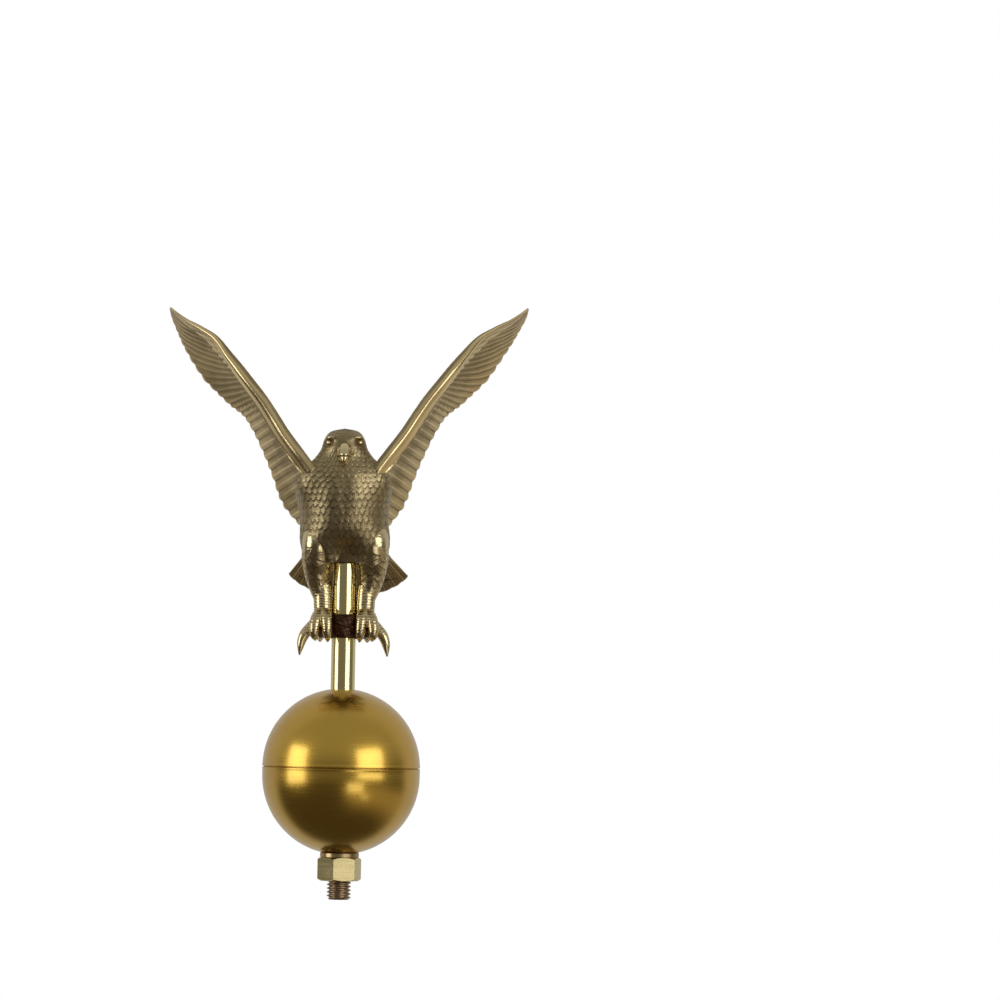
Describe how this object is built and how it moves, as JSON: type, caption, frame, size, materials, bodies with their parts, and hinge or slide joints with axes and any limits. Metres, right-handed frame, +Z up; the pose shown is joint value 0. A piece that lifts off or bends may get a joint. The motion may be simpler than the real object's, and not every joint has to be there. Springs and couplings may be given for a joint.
{
  "type": "flagpole finial",
  "caption": "Flagpole finial: a cast eagle with raised wings on a polished spindle above a gold spun ball, held by a hex nut over a threaded stub.",
  "frame": {"origin": "on the spindle's axis, in the plane of the nut's lower seating face, where the threaded stub starts", "axes": "+Z up along the spindle to the eagle's head, -Y the way the eagle faces, +X the bird's own left wing"},
  "size_m": [0.193, 0.0953, 0.3141],
  "materials": {
    "polished_brass": "polished",
    "nut_brass": "bright plated",
    "gold_anodised": "satin gold anodised",
    "antique_casting": "antique, polished on the high spots",
    "perch_casting": "dark patina",
    "zinc_steel": "zinc plated",
    "bush_plastic": "moulded"
  },
  "bodies": {
    "root": {"spindle": "polished_brass", "ball_lower_shell": "gold_anodised", "ball_upper_shell": "gold_anodised", "ball_inner_nut": "zinc_steel", "ball_inner_washer": "zinc_steel", "ball_top_grommet": "bush_plastic", "eagle_body": "antique_casting", "left_wing": "antique_casting", "right_wing": "antique_casting", "tail_fan": "antique_casting", "left_leg": "antique_casting", "right_leg": "antique_casting", "perch_collar": "perch_casting", "eagle_lock_nut": "zinc_steel", "eagle_lock_washer": "zinc_steel", "wing_set_screws": "zinc_steel", "wing_dowels": "zinc_steel", "tail_screws": "zinc_steel", "leg_pins": "zinc_steel", "foot_screws": "zinc_steel", "perch_set_screw": "zinc_steel"},
    "washer": {"ball_cup_washer": "nut_brass"},
    "nut": {"spindle_nut": "nut_brass"}
  },
  "joints": [
    {"name": "washer_slide", "type": "slide", "parent": "root", "child": "washer", "axis": [0, 0, -1], "range_m": [0, 0.00782]},
    {"name": "nut_spin", "type": "hinge", "parent": "washer", "child": "nut", "pos_m": [0, 0, 0], "axis": [0, 0, -1], "range_deg": [0, 1440]}
  ],
  "couplings": [
    {"joint": "washer_slide", "follows": "nut_spin", "m_per_rad": 0.00031096}
  ]
}
